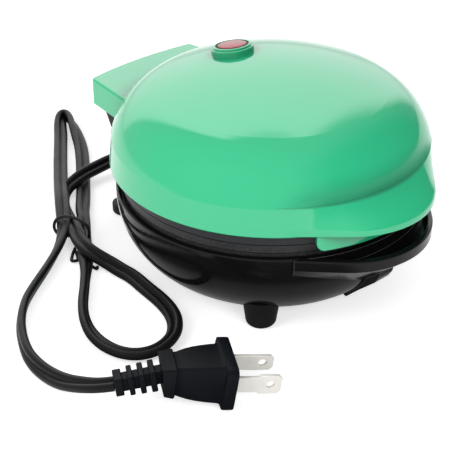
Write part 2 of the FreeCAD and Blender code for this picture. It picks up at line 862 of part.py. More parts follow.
def base_shell():
    body = new_body("base_shell")
    tab(body)
    heel(body)
    rounding = dim("rim_round")
    solid = new_sketch(body, "XZ_Plane")
    outline(solid, [
        (0.0, dim("bowl_floor")),
        (dim("bowl_floor_radius"), dim("bowl_floor"), dim("bowl_radius"), "left"),
        (dim("base_rim_radius"), dim("base_rim") - rounding, rounding, "left"),
        (dim("base_rim_radius") - rounding, dim("base_rim")),
        (0.0, dim("base_rim")),
    ])
    revolve(body, solid)
    inside = new_sketch(body, "XZ_Plane")
    bowl_profile(inside, dim("base_wall"), dim("rim_height"))
    revolve(body, inside, cut=True)

    cavity = new_sketch(body, "XZ_Plane", -40.0)
    outline(cavity, [(-16.0, 7.0), (16.0, 7.0), (16.0, 33.0), (-16.0, 33.0)])
    pocket(body, cavity, 34.0)
    scoop = new_sketch(body, "XY_Plane", dim("base_rim"))
    outline(scoop, tongue_corners(33.2, 53.9, 24.13, 63.1, dim("tongue_radius") - 2.0, 63.3))
    pocket(body, scoop, dim("tab_depth"))

    # Posts carry the lower plate; their screws are driven from underneath.
    for radius, top in ((5.2, as_size(20.4)), (4.0, dim("post_top"))):
        posts = new_sketch(body, "XY_Plane", dim("bowl_floor") + 1.0)
        for x, y in quarter_points(dim("post_circle")):
            circle(posts, x, y, radius)
        pad(body, posts, top - dim("bowl_floor") - 1.0)
    for radius, depth in ((3.3, 12.0), (1.7, 40.0)):
        holes = new_sketch(body, "XY_Plane", dim("bowl_floor") - 1.0)
        for x, y in quarter_points(dim("post_circle")):
            circle(holes, x, y, radius)
        pocket(body, holes, depth, forward=True)

    vents = new_sketch(body, "XY_Plane", dim("bowl_floor") - 1.0)
    for row in range(5):
        y = -14.0 + 7.0 * row
        outline(vents, [(-9.0, y), (9.0, y), (9.0, y + 2.4), (-9.0, y + 2.4)])
    pocket(body, vents, 5.0, forward=True)

    gland = new_sketch(body, "XZ_Plane", -dim("heel_rear") - 1.0)
    circle(gland, dim("gland_x"), dim("gland_height"), 4.1)
    pocket(body, gland, 8.0, forward=True)
    pegs = new_sketch(body, "XY_Plane", 0.0)
    for x in (dim("foot_x"), -dim("foot_x")):
        circle(pegs, x, -dim("foot_y"), 2.2)
    pocket(body, pegs, 12.0, forward=True)
    pegs = new_sketch(body, "XY_Plane", 0.0)
    for x in (dim("pad_x"), -dim("pad_x")):
        circle(pegs, x, dim("pad_y"), 2.2)
    pocket(body, pegs, 9.0, forward=True)
    bore = new_sketch(body, "YZ_Plane")
    circle(bore, dim("pin_y"), dim("pin_height"), dim("pin_radius"))
    pocket(body, bore, 60.0, both_ways=True)


def base_fittings():
    pin = cylinder(dim("pin_radius"), dim("pin_length"), dim("pin_length") * -0.5, dim("pin_y"),
                   dim("pin_height"))
    pin.Placement.Rotation = Rotation(Vector(0, 1, 0), 90)
    keep(pin, "hinge_pin")
    screws = [screw(x, y, 14.0, 12.4 + 2.1, dim("post_top").value + 4.6)
              for x, y in quarter_points(dim("post_circle"))]
    keep(group(screws), "lower_plate_screws")
    heat_shield("lower_heat_shield", as_size(20.4), -1, as_size(50.0),
                quarter_points(dim("post_circle")), 4.6)


def feet():
    for side, name in ((-1, "left"), (1, "right")):
        form = doc.addObject("PartDesign::Body", "FootForm")
        low, high, corner = dim("foot_radius"), dim("foot_top_radius"), dim("foot_round")
        profile = new_sketch(form, "XZ_Plane")
        outline(profile, [
            (0.0, 0.0),
            (low - corner, 0.0, corner, "left"),
            (low, corner),
            (high, 13.0),
            (0.0, 13.0),
        ])
        revolve(form, profile)
        place(form, dim("foot_x") * side, -dim("foot_y"), 0.0)
        bowl = doc.addObject("PartDesign::Body", "BowlForm")
        envelope = new_sketch(bowl, "XZ_Plane")
        bowl_profile(envelope, as_size(0.0), dim("rim_height"))
        revolve(bowl, envelope)
        stud = cylinder(2.1, 5.0, dim("foot_x") * side, -dim("foot_y"), 5.0)
        keep(fuse([cut(form, bowl), stud]), f"front_{name}_foot")

        body = doc.addObject("PartDesign::Body", "PadForm")
        radius, height = dim("pad_radius"), dim("heel_bottom")
        profile = new_sketch(body, "XZ_Plane")
        outline(profile, [
            (0.0, 0.0),
            (radius - 1.4, 0.0, 1.4, "left"),
            (radius, 1.4),
            (radius, height),
            (2.1, height),
            (2.1, height + 4.0),
            (0.0, height + 4.0),
        ])
        revolve(body, profile)
        place(body, dim("pad_x") * side, dim("pad_y"), 0.0)
        keep(body, f"rear_{name}_foot")


# Indicator lamp

def on_dome(thing):
    lean = Rotation(Vector(1, 0, 0), -dim("lamp_tilt").value)
    thing.Placement = Placement(Vector(0, dim("lamp_y").value, dim("lamp_height").value), lean)
    return thing


def lamp():
    top = dim("collar_lip_rise")
    lens = new_body("indicator_lens")
    profile = new_sketch(lens, "XZ_Plane")
    outline(profile, [
        (0.0, -6.0),
        (dim("lens_stem_radius"), -6.0),
        (dim("lens_stem_radius"), top - 1.4),
        (dim("lens_radius"), top - 1.4),
        (dim("lens_radius"), top, 40.0, "left"),
        (0.8, top + 0.55),
        (0.0, top + 0.55),
    ])
    revolve(lens, profile)
    well = new_sketch(lens, "XY_Plane", -6.0)
    circle(well, 0.0, 0.0, 4.0)
    pocket(lens, well, 6.0, forward=True)
    on_dome(lens)

    clip = new_body("lens_clip")
    plan = new_sketch(clip, "XY_Plane", -3.4)
    circle(plan, 0.0, 0.0, 8.4)
    circle(plan, 0.0, 0.0, dim("lens_stem_radius"))
    pad(clip, plan, 0.8)
    on_dome(clip)

    bulb = new_body("neon_lamp")
    profile = new_sketch(bulb, "XZ_Plane")
    outline(profile, [
        (0.0, -12.0),
        (2.6, -12.0),
        (2.6, -2.6, 2.2, "left"),
        (0.4, -0.4),
        (0.0, -0.4),
    ])
    revolve(bulb, profile)
    on_dome(bulb)


# Wiring and electrical pieces

def smooth_path(points):
    """Straight runs joined by tangent arcs; prints the bend radii."""
    edges = []
    radii = []
    start = points[0]
    for index in range(1, len(points) - 1):
        corner = points[index]
        before = points[index - 1] - corner
        after = points[index + 1] - corner
        reach = 0.45 * min(before.Length, after.Length)
        entry = corner + Vector(before).normalize() * reach
        leave = corner + Vector(after).normalize() * reach
        turn = math.pi - before.getAngle(after)
        radius = reach / math.tan(turn / 2)
        radii.append(radius)
        inward = (Vector(before).normalize() + Vector(after).normalize()).normalize()
        middle = corner + inward * (radius / math.cos(turn / 2) - radius)
        edges.append(Part.LineSegment(start, entry).toShape())
        edges.append(Part.Arc(entry, middle, leave).toShape())
        start = leave
    edges.append(Part.LineSegment(start, points[-1]).toShape())
    return Part.Wire(edges), radii


def tube(label, points, radius):
    points = [Vector(*point) for point in points]
    path, radii = smooth_path(points)
    ring = Part.Circle(points[0], points[1] - points[0], radius)
    solid = path.makePipeShell([Part.Wire(ring.toShape())], True, False)
    expected = math.pi * radius ** 2 * path.Length
    print(f"{label}: length {path.Length:.1f}, tightest bend {min(radii):.1f}, "
          f"volume ratio {solid.Volume / expected:.4f}")
    return solid


def swept(label, solids):
    thing = doc.addObject("Part::Feature", label)
    thing.Shape = solids[0] if len(solids) == 1 else Part.makeCompound(solids)
    thing.Placement = Placement()
    return keep(thing, label)


def electrics():
    switch = cylinder(8.0, 7.6, 0.0, 0.0, dim("lower_face") - dim("deck_thickness") - 7.6)
    keep(switch, "thermostat")
    fuse_link = cylinder(2.0, 14.0, -7.0, -20.0, 20.4 - 2.1)
    fuse_link.Placement.Rotation = Rotation(Vector(0, 1, 0), 90)
    keep(fuse_link, "thermal_fuse")
    floor = dim("bowl_floor") + dim("base_wall")
    strip = block(26.0, 9.6, 9.0, 0.0, dim("element_ring") - 1.4, floor)
    keep(strip, "terminal_block")
    top = floor.value + 9.0 + 0.12
    tail = dim("element_ring").value - 1.4
    low = dim("lower_face").value - 10.2 - 2 * dim("element_tube").value
    leads = [tube("base lead", [(side * 8.2, tail, top), (side * 8.0, tail - 0.3, 18.0),
                                (side * 8.3, tail, low + 0.6)], 1.1) for side in (1, -1)]
    leads.append(tube("supply lead", [(6.0, 72.0, 10.0), (6.6, 62.0, 10.6), (9.4, 50.0, 10.8),
                                      (10.0, 39.0, 10.6), (9.6, tail + 5.0, 10.2)], 2.4))
    swept("base_leads", leads)
    high = dim("upper_face").value + 10.2 + 2 * dim("element_tube").value
    leads = [tube("lid lead", [(side * 3.0, 69.0, 58.2), (side * 4.6, 61.0, 58.6),
                               (side * 6.8, 50.0, 62.6), (side * 7.4, 36.0, 66.2),
                               (side * 8.2, 26.0, 66.0), (side * 8.2, tail, 62.0),
                               (side * 8.2, tail, high - 0.8)], 1.1) for side in (1, -1)]
    swept("lid_leads", leads)


def cord_entry():
    gland = new_body("cord_gland")
    end = dim("gland_reach")
    profile = new_sketch(gland, "XZ_Plane")
    outline(profile, [
        (0.0, -7.0),
        (4.1, -7.0),
        (4.1, 0.0),
        (5.8, 0.0),
        (5.8, 2.2),
        (4.7, 2.2),
        (4.5, 4.2),
        (3.9, 4.2),
        (3.9, 5.2),
        (4.3, 5.2),
        (4.1, 7.2),
        (3.5, 7.2),
        (3.5, 8.2),
        (3.9, 8.2),
        (3.4, end),
        (0.0, end),
    ])
    revolve(gland, profile)
    spot = Vector(dim("gland_x").value, dim("heel_rear").value, dim("gland_height").value)
    gland.Placement = Placement(spot, Rotation(Vector(1, 0, 0), -90))

    bar = block(20.0, 6.0, 4.0, dim("gland_x"), 66.0, 14.0)
    legs = [cylinder(1.5, 8.5, dim("gland_x") + side * 7.5, 66.0, 7.0) for side in (1, -1)]
    keep(fuse([bar] + legs), "cord_clamp")


def power_cord():
    """The cord as it lies: out of the heel, round one loop, down a long hairpin and to the plug."""
    floor = dim("cord_radius").value
    end = dim("heel_rear").value + dim("gland_reach").value
    stance = relief_placement()
    length = dim("relief_length").value
    route = [
        (6.0, end + 0.4, 10.0), (5.2, 96.5, 9.9), (0.0, 101.5, 9.7), (-9.0, 102.3, 9.6),
        (-18.0, 99.6, 9.6), (-27.0, 95.6, 9.6), (-35.0, 90.6, 9.6), (-41.2, 84.0, 9.7),
        (-45.2, 76.5, 9.9), (-48.4, 67.0, 10.2), (-51.2, 57.0, 9.6), (-51.4, 45.0, 5.4),
        (-49.9, 33.0, floor), (-48.9, 15.8, floor), (-53.2, 1.0, floor), (-60.0, -10.2, floor),
        (-70.2, -17.7, floor), (-81.4, -18.2, floor), (-88.6, -10.2, floor), (-89.6, 3.6, floor),
        (-83.4, 19.8, floor), (-73.8, 33.0, floor), (-63.2, 46.4, floor), (-54.4, 58.6, floor),
        (-49.2, 64.6, 3.2), (-43.2, 70.4, 4.3), (-35.4, 79.4, 3.4), (-21.6, 96.9, floor),
        (-7.2, 116.3, floor), (4.4, 133.9, floor), (12.9, 148.6, floor), (17.2, 156.6, floor),
        (20.2, 163.3, floor), (17.7, 168.1, floor), (12.2, 168.3, floor), (7.4, 161.4, floor),
        (0.2, 149.4, floor), (-9.6, 134.8, floor), (-25.5, 112.9, floor), (-40.6, 92.4, 3.4),
        (-49.4, 78.6, 4.3), (-57.2, 69.2, 3.2), (-69.4, 59.8, floor), (-84.2, 50.4, floor),
        (-97.2, 40.6, floor), (-108.2, 27.6, floor), (-115.4, 14.6, floor), (-118.6, 3.4, 2.6),
        (-119.6, -5.6, 3.5), (-119.7, -14.0, 5.3), (-119.0, -21.6, 7.7), (-117.2, -28.2, 9.8),
        tuple(stance.multVec(Vector(0, 0, length + 4.0))),
        tuple(stance.multVec(Vector(0, 0, length))),
    ]
    swept("power_cord", [tube("cord", route, floor)])


def cord_tie():
    """A bare wire twisted round the three strands, with two loose ends."""
    centre = Vector(-46.0, 74.6, 0)
    across = Vector(0.83, -0.55, 0)
    ring = [(-9.4, 0.7), (9.3, 0.7), (9.3, 5.6), (2.6, 14.0), (-2.6, 14.0), (-9.4, 5.6)]
    loop = [centre + across * wide + Vector(0, 0, high) for wide, high in ring]
    start = (loop[0] + loop[1]) * 0.5
    last = (loop[0] * 0.54 + loop[1] * 0.46)
    wire = 0.45
    solids = [tube("tie", [tuple(p) for p in [start] + loop[1:] + [loop[0], last]], wire)]
    solids.append(tube("tie tail", [(-48.8, 75.0, 13.4), (-53.6, 69.4, 11.4), (-57.0, 62.6, 6.6),
                                    (-60.4, 57.6, 2.4), (-63.0, 54.4, 0.8)], wire))
    swept("cord_tie", solids)


# Plug: its own x runs to the blade tips, y from blade to blade, z up.

def plug_placement():
    turn = Rotation(Vector(0, 0, 1), dim("plug_turn").value)
    pitch = Rotation(Vector(0, 1, 0), dim("plug_tip").value)
    roll = Rotation(Vector(1, 0, 0), dim("plug_roll").value)
    spot = Vector(dim("plug_x").value, dim("plug_y").value, dim("plug_height").value)
    return Placement(spot, turn.multiply(pitch).multiply(roll))


def plug_back():
    """Distance from the middle of the flange to the rear end of the moulded plug."""
    return dim("flange_length") * 0.5 + dim("grip_length") + dim("collar_length")


def relief_placement():
    """The strain relief's own z runs backwards, hanging a little below the plug's axis."""
    droop = Rotation(Vector(0, 1, 0), -90.0 - dim("relief_droop").value)
    return plug_placement().multiply(Placement(Vector(-plug_back().value, 0, 0), droop))


def rounded_rectangle(sketch, wide, high, corner):
    x, y = wide * 0.5, high * 0.5
    outline(sketch, [
        (x - corner, -y, corner, "left"),
        (x, -(y - corner)),
        (x, y - corner, corner, "left"),
        (x - corner, y),
        (-(x - corner), y, corner, "left"),
        (-x, y - corner),
        (-x, -(y - corner), corner, "left"),
        (-(x - corner), -y),
    ])


def plug():
    stance = plug_placement()
    body = new_body("plug_body")
    half = dim("flange_length") * 0.5
    face = new_sketch(body, "YZ_Plane", -half)
    rounded_rectangle(face, dim("flange_width"), dim("flange_depth"), as_size(5.5))
    pad(body, face, dim("flange_length"))
    sections = []
    for back, wide, high, corner in ((0.0, 15.6, 16.3, 4.4), (0.5, 13.6, 14.6, 4.0),
                                     (1.0, 10.9, 12.3, 3.6)):
        section = new_sketch(body, "YZ_Plane", -half - dim("grip_length") * back)
        rounded_rectangle(section, as_size(wide), as_size(high), as_size(corner))
        sections.append(section)
    ruled_loft(body, sections)

    # Collar whose rear face leans with the strain relief
    collar = new_sketch(body, "YZ_Plane", -half - dim("grip_length"))
    end = new_sketch(body, "YZ_Plane")
    end.setExpression("AttachmentOffset.Base.x", None)
    end.setExpression("AttachmentOffset.Base.z", None)
    lean = Rotation(Vector(1, 0, 0), -dim("relief_droop").value)
    end.AttachmentOffset = Placement(Vector(0, 0, -plug_back().value), lean)
    for section, wide, high in ((collar, 14.0, 13.0), (end, 12.6, 11.8)):
        rounded_rectangle(section, as_size(wide), as_size(high), as_size(4.0))
    ruled_loft(body, [collar, end])
    body.Placement = stance

    relief = new_body("plug_relief")
    profile = new_sketch(relief, "XZ_Plane")
    length = dim("relief_length")
    core = 2.9
    corners = [(0.0, 0.0), (core, 0.0)]
    for low, high, radius in ((2.4, 4.6, 4.6), (6.4, 8.6, 4.4), (10.4, 12.4, 4.2)):
        corners += [(core, low), (radius, low), (radius, high), (core, high)]
    corners += [(core, length - 3.0), (3.75, length - 3.0), (3.75, length), (0.0, length)]
    outline(profile, corners)
    revolve(relief, profile)
    relief.Placement = relief_placement()

    # One blade is wider at its tip, so the plug goes into the wall one way round.
    for side, label, flare in ((1, "plug_blade_narrow", 0.0), (-1, "plug_blade_wide", 0.8)):
        blade = new_body(label)
        plan = new_sketch(blade, "XZ_Plane")
        length, top = dim("blade_length"), dim("blade_width") * 0.5
        chamfer = 1.5
        upper = [
            (length, top + flare - chamfer),
            (length - chamfer, top + flare),
        ]
        if flare:
            upper += [(length - 8.0, top + flare), (length - 8.8, top)]
        upper.append((0.0, top))
        lower = [(x, -y) for x, y in reversed(upper)]
        outline(plan, lower + upper)
        pad(blade, plan, dim("blade_thickness"), both_ways=True)
        hole = new_sketch(blade, "XZ_Plane")
        circle(hole, length - 4.2, 0.0, 1.6)
        pocket(blade, hole, 4.0, both_ways=True)
        spot = Vector(half.value, side * dim("blade_spacing").value / 2, 0)
        blade.Placement = stance.multiply(Placement(spot, Rotation()))


def finish():
    doc.recompute()
    for thing in kept:
        formulas = {path.strip("."): text for path, text in thing.ExpressionEngine}
        current = formulas.get("Placement.Base.y", str(thing.Placement.Base.y))
        thing.setExpression("Placement.Base.y", f"{current} + Dims.plate_axis_y")
    doc.recompute()
    bad = [thing.Name for thing in doc.Objects if {"Invalid", "Error"} & set(thing.State)]
    for thing in kept:
        if thing.Shape.isNull() or not thing.Shape.isValid():
            bad.append(thing.Label)
    if bad:
        raise RuntimeError(f"failed objects: {bad}")
    os.makedirs("parts", exist_ok=True)
    for thing in kept:
        thing.Shape.exportStep(f"parts/{thing.Label}.step")
    print(len(kept), "parts written")


lid_cover()
lid_inner_ring()
upper_plate()
lower_plate()
element_offset = dim("mould_tube") + dim("mould_wall") + dim("element_tube")
element("upper_element", dim("upper_face") + element_offset)
element("lower_element", dim("lower_face") - element_offset)
lid_fittings()
base_shell()
base_fittings()
feet()
lamp()
electrics()
cord_entry()
power_cord()
cord_tie()
plug()
finish()
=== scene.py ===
import json
import math

import bmesh
import bpy
from mathutils import Matrix, Vector


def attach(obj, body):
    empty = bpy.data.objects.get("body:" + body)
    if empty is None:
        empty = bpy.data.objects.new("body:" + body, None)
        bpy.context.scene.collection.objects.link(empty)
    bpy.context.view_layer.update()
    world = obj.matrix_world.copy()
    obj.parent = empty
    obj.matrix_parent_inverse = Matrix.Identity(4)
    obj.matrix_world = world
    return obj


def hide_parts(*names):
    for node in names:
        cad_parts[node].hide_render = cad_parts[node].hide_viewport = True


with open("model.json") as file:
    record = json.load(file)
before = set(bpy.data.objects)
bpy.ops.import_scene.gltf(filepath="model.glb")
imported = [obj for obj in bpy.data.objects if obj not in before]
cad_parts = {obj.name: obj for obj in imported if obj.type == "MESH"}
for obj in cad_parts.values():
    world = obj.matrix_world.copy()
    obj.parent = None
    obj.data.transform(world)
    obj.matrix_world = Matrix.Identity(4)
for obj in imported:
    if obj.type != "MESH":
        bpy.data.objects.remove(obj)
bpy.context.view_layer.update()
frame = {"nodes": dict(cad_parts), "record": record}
nodes = frame["nodes"]
print("frame loaded:", len(nodes), "nodes")

plateAxisY = -4.05  # mm, where the round plates' axis stands
milli = 0.001


def at(x, y, z):
    # mm from the plates' axis to metres in the frame
    return Vector((x, y + plateAxisY, z)) * milli


def addObject(name, data):
    thing = bpy.data.objects.new(name, data)
    bpy.context.scene.collection.objects.link(thing)
    return thing


# Node helpers

def feed(tree, socket, value):
    # An output is linked, a plain number or colour is set
    if isinstance(value, bpy.types.NodeSocket):
        tree.links.new(value, socket)
    else:
        socket.default_value = value


def mapRange(tree, value, span, results, smooth=True):
    node = tree.nodes.new("ShaderNodeMapRange")
    node.interpolation_type = "SMOOTHSTEP" if smooth else "LINEAR"
    names = ("Value", "From Min", "From Max", "To Min", "To Max")
    for name, setting in zip(names, (value, *span, *results)):
        feed(tree, node.inputs[name], setting)
    return node.outputs["Result"]


def mathNode(tree, operation, *values):
    node = tree.nodes.new("ShaderNodeMath")
    node.operation = operation
    for socket, value in zip(node.inputs, values):
        feed(tree, socket, value)
    return node.outputs["Value"]


def vectorNode(tree, operation, *values):
    node = tree.nodes.new("ShaderNodeVectorMath")
    node.operation = operation
    for socket, value in zip(node.inputs, values):
        feed(tree, socket, value)
    return node.outputs["Value" if operation in ("DOT_PRODUCT", "LENGTH") else "Vector"]


def mixColor(tree, factor, first, second, blend="MIX"):
    node = tree.nodes.new("ShaderNodeMix")
    node.data_type = "RGBA"
    node.blend_type = blend
    for name, value in (("Factor", factor), ("A", first), ("B", second)):
        feed(tree, node.inputs[name], value + (1.0,) if isinstance(value, tuple) else value)
    return node.outputs["Result"]


def mixShader(tree, factor, first, second):
    node = tree.nodes.new("ShaderNodeMixShader")
    for socket, value in zip(node.inputs, (factor, first, second)):
        tree.links.new(value, socket)
    return node.outputs[0]


# Studio

studio = {
    "backdrop": (1.0, 1.0, 1.0),
    "fill": 0.50,                         # even light from the room
    "boxMiddle": (0.574, 0.819, 0.0),     # where the large rear softbox stands, as gloss sees it
    "boxEdge": (0.68, 0.82),
    "boxRise": (0.0, 0.85),               # how high a ray points, at the horizon and near its top
    "boxGlow": (1.9, 4.5),                # at those two heights
    "boxTop": (0.91, 0.975),
    "dimSide": (0.643, -0.766, 0.0),      # the unlit side of the room
    "dimEdge": (0.22, 0.70),
    "roomGlow": (1.0, 0.14),
    "floorHalf": 6.0,                     # m, half the floor's side
    "floorSteps": 8,
    "floorDrop": 0.0002,                  # m, clear of the feet
    "floorColor": (0.93, 0.93, 0.93),
    "floorRough": 0.9,
    "floorGlow": 0.55,                    # paper white for the camera
    "floorGlowInGloss": 0.68,
    # Gloss sees a shaded ring of floor round the base (m), which ends about a middle of its own
    "shadeMiddle": (0.0, -0.004, 0.0),
    "shadeInner": (0.070, 0.080),
    "shadeUnder": 0.30,                   # how open the floor is close under the base
    "shadeOuterMiddle": (-0.030, -0.035, 0.0),
    "shadeOuter": (0.082, 0.096),
    "shadeColor": (0.16, 0.16, 0.16),
    "lamps": [                            # name, place (m), aim (m), size (m), watts
        ("overheadBox", (0.10, 0.25, 1.05), (0.0, 0.0, 0.05), (1.5, 1.1), 2.5),
        ("leftPanel", (-1.00, 0.10, 0.55), (0.0, 0.0, 0.04), (0.5, 0.9), 6.0),
        ("frontFill", (-0.35, -1.15, 0.75), (0.0, 0.0, 0.04), (0.7, 0.5), 7.0),
    ],
}

photoView = {
    "place": (-324.79, -324.79, 293.77),      # mm, from the plates' axis
    "right": (0.7347452, -0.6783432, 0.0),
    "up": (0.3506621, 0.3798185, 0.8560222),
    "back": (-0.5806768, -0.6289582, 0.5169391),
    "lens": 102.31,                           # mm
    "sensor": 36.0,
    "clipStart": 0.01,                        # m
}


def seenDirectly(tree, path):
    return mathNode(tree, "MAXIMUM", path.outputs["Is Camera Ray"], path.outputs["Is Transmission Ray"])


def glossStrength(tree):
    # Gloss sees a tall softbox behind on the right, a bright room, and a dim side
    ray = tree.nodes.new("ShaderNodeTexCoord").outputs["Generated"]
    split = tree.nodes.new("ShaderNodeSeparateXYZ")
    tree.links.new(ray, split.inputs[0])
    height = split.outputs["Z"]
    level = vectorNode(tree, "NORMALIZE", vectorNode(tree, "MULTIPLY", ray, (1.0, 1.0, 0.0)))
    across = vectorNode(tree, "DOT_PRODUCT", level, studio["boxMiddle"])
    side = mapRange(tree, across, studio["boxEdge"], (0.0, 1.0))
    rise = mapRange(tree, height, studio["boxRise"], studio["boxGlow"], smooth=False)
    top = mapRange(tree, height, studio["boxTop"], (1.0, 0.0))
    softbox = mathNode(tree, "MULTIPLY", mathNode(tree, "MULTIPLY", side, rise), top)
    away = vectorNode(tree, "DOT_PRODUCT", ray, studio["dimSide"])
    room = mapRange(tree, away, studio["dimEdge"], studio["roomGlow"])
    return mathNode(tree, "MAXIMUM", softbox, room)


def makeWorld():
    world = bpy.data.worlds.new("studioRoom")
    bpy.context.scene.world = world
    world.use_nodes = True
    tree = world.node_tree
    tree.nodes.clear()
    path = tree.nodes.new("ShaderNodeLightPath")
    room = tree.nodes.new("ShaderNodeBackground")
    room.inputs["Strength"].default_value = studio["fill"]
    sweep = tree.nodes.new("ShaderNodeBackground")
    tree.links.new(glossStrength(tree), sweep.inputs["Strength"])
    seen = tree.nodes.new("ShaderNodeBackground")
    seen.inputs["Color"].default_value = studio["backdrop"] + (1.0,)
    lit = mixShader(tree, path.outputs["Is Glossy Ray"], room.outputs[0], sweep.outputs[0])
    picked = mixShader(tree, seenDirectly(tree, path), lit, seen.outputs[0])
    out = tree.nodes.new("ShaderNodeOutputWorld")
    tree.links.new(picked, out.inputs["Surface"])


def openToGloss(tree):
    # 1 where gloss sees the bare floor, 0 in the shaded ring
    spot = tree.nodes.new("ShaderNodeNewGeometry").outputs["Position"]
    near = vectorNode(tree, "LENGTH", vectorNode(tree, "SUBTRACT", spot, studio["shadeMiddle"]))
    far = vectorNode(tree, "LENGTH", vectorNode(tree, "SUBTRACT", spot, studio["shadeOuterMiddle"]))
    under = mapRange(tree, near, studio["shadeInner"], (studio["shadeUnder"], 0.0))
    beyond = mapRange(tree, far, studio["shadeOuter"], (0.0, 1.0))
    return mathNode(tree, "MAXIMUM", under, beyond)


def makeFloorPaper():
    material = bpy.data.materials.new("paleFloor")
    material.use_nodes = True
    tree = material.node_tree
    shader = tree.nodes["Principled BSDF"]
    shader.inputs["Roughness"].default_value = studio["floorRough"]
    shader.inputs["Specular IOR Level"].default_value = 0.0
    path = tree.nodes.new("ShaderNodeLightPath")
    inGloss = mathNode(tree, "MULTIPLY", path.outputs["Is Glossy Ray"], openToGloss(tree))
    shaded = mathNode(tree, "SUBTRACT", path.outputs["Is Glossy Ray"], inGloss)
    paper = mixColor(tree, shaded, studio["floorColor"], studio["shadeColor"])
    tree.links.new(paper, shader.inputs["Base Color"])
    glossGlow = mathNode(tree, "MULTIPLY", inGloss, studio["floorGlowInGloss"])
    strength = mathNode(tree, "MULTIPLY_ADD", seenDirectly(tree, path), studio["floorGlow"], glossGlow)
    glow = tree.nodes.new("ShaderNodeEmission")
    tree.links.new(strength, glow.inputs["Strength"])
    both = tree.nodes.new("ShaderNodeAddShader")
    tree.links.new(shader.outputs[0], both.inputs[0])
    tree.links.new(glow.outputs[0], both.inputs[1])
    tree.links.new(both.outputs[0], tree.nodes["Material Output"].inputs["Surface"])
    return material


def makeFloor():
    bm = bmesh.new()
    steps = studio["floorSteps"]
    bmesh.ops.create_grid(bm, x_segments=steps, y_segments=steps, size=studio["floorHalf"])
    mesh = bpy.data.meshes.new("studioFloor")
    bm.to_mesh(mesh)
    bm.free()
    mesh.materials.append(makeFloorPaper())
    floor = addObject("studioFloor", mesh)
    floor.location.z = -studio["floorDrop"]


def makeLamps():
    for name, place, aim, size, watts in studio["lamps"]:
        light = bpy.data.lights.new(name, "AREA")
        light.shape = "RECTANGLE"
        light.size, light.size_y = size
        light.energy = watts
        lamp = addObject(name, light)
        lamp.location = place
        lamp.rotation_euler = (Vector(aim) - Vector(place)).to_track_quat("-Z", "Y").to_euler()
        lamp.visible_glossy = False


def makeCamera():
    data = bpy.data.cameras.new("photoCamera")
    data.sensor_width = photoView["sensor"]
    data.lens = photoView["lens"]
    data.clip_start = photoView["clipStart"]
    matrix = Matrix([photoView[axis] for axis in ("right", "up", "back")]).transposed().to_4x4()
    matrix.translation = at(*photoView["place"])
    camera = addObject("photoCamera", data)
    camera.matrix_world = matrix
    bpy.context.scene.camera = camera


bpy.context.scene.view_settings.view_transform = "Standard"
makeWorld()
makeFloor()
makeLamps()
makeCamera()
print("studio ready")


# Shared surface effects

surfaceEffects = {
    "grainDetail": 3.0,
    "grainRough": 0.6,
    "fleckReach": (0.12, 0.30),       # from a cell's middle, where a fleck fades
    "cloudDetail": 4.0,
    "cloudBend": 0.6,
    "cloudSpan": (0.35, 0.70),
    "bumpHeight": 0.4,                # mm
    "edgeSamples": 6,
    # painted highlight: the paler rim colour fades in by how far the softened normal turns
    "rimTurn": (0.90, 0.985),         # softened normal along the face's own, at a full rim and at none
    # painted shade: inner corners darken by how closed in they are
    "paintedCornerShadeOpen": (0.84, 0.99),      # how open a corner is, at full darkening and at none
}


def newGroup(name, inputs, outputs):
    group = bpy.data.node_groups.new(name, "ShaderNodeTree")
    for side, names in (("INPUT", inputs), ("OUTPUT", outputs)):
        for socket in names:
            group.interface.new_socket(name=socket, in_out=side, socket_type="NodeSocketFloat")
    return group, group.nodes.new("NodeGroupInput").outputs, group.nodes.new("NodeGroupOutput").inputs


def makeGrainGroup():
    # Fine moulded texture: a height for bump and a mask of flecks
    group, start, end = newGroup("mouldedGrain", ["Scale"], ["Height", "Speckle"])
    coords = group.nodes.new("ShaderNodeTexCoord")
    noise = group.nodes.new("ShaderNodeTexNoise")
    noise.inputs["Detail"].default_value = surfaceEffects["grainDetail"]
    noise.inputs["Roughness"].default_value = surfaceEffects["grainRough"]
    cells = group.nodes.new("ShaderNodeTexVoronoi")
    for texture in (noise, cells):
        group.links.new(coords.outputs["Object"], texture.inputs["Vector"])
        group.links.new(start["Scale"], texture.inputs["Scale"])
    flecks = mapRange(group, cells.outputs["Distance"], surfaceEffects["fleckReach"], (1.0, 0.0),
                      smooth=False)
    group.links.new(noise.outputs["Fac"], end["Height"])
    group.links.new(flecks, end["Speckle"])
    return group


def makeSmudgeGroup():
    # Handling marks: slow cloudy changes of gloss and colour
    group, start, end = newGroup("handlingMarks", ["Scale", "Low", "High"], ["Gloss", "Cloud"])
    coords = group.nodes.new("ShaderNodeTexCoord")
    cloud = group.nodes.new("ShaderNodeTexNoise")
    cloud.inputs["Detail"].default_value = surfaceEffects["cloudDetail"]
    cloud.inputs["Distortion"].default_value = surfaceEffects["cloudBend"]
    group.links.new(coords.outputs["Object"], cloud.inputs["Vector"])
    group.links.new(start["Scale"], cloud.inputs["Scale"])
    gloss = mapRange(group, cloud.outputs["Fac"], surfaceEffects["cloudSpan"], (start["Low"], start["High"]),
                     smooth=False)
    group.links.new(gloss, end["Gloss"])
    group.links.new(cloud.outputs["Fac"], end["Cloud"])
    return group


grainGroup = makeGrainGroup()
smudgeGroup = makeSmudgeGroup()


